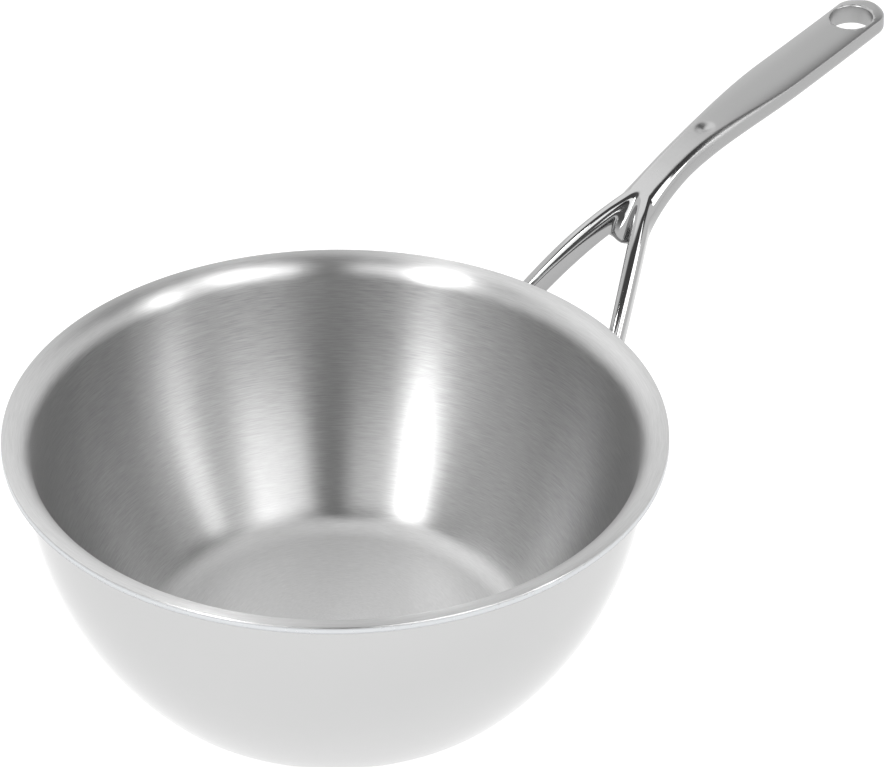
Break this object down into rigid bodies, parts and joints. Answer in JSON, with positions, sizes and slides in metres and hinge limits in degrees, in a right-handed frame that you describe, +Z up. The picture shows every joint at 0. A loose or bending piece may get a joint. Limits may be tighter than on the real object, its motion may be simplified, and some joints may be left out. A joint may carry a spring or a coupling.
{
  "type": "saute pan",
  "caption": "Deep rounded saute pan of clad stainless steel with a flared pouring lip and a long forked cast handle welded to its wall.",
  "frame": {"origin": "middle of the base's underside, on the hob", "axes": "+Z up out of the pan's mouth, +X from the pan's axis along the handle"},
  "size_m": [0.4721, 0.252, 0.1576],
  "materials": {
    "polished_steel": "polished bright, silvery, magnetic stainless steel",
    "bonding_alloy": "plain rolled, seen only as a hairline at the lip's edge",
    "core_aluminium": "plain rolled, seen only as a hairline at the lip's edge",
    "satin_steel": "satin, finely brushed round the pan's axis",
    "weld_steel": "dressed weld, dull bright",
    "cast_steel": "cast, satin on the grip's top and polished bright on the neck and prongs"
  },
  "bodies": {
    "root": {"outer_skin": "polished_steel", "lower_bond_ply": "bonding_alloy", "heat_core": "core_aluminium", "upper_bond_ply": "bonding_alloy", "cooking_skin": "satin_steel", "left_weld": "weld_steel", "right_weld": "weld_steel", "fork_handle": "cast_steel"}
  },
  "joints": []
}
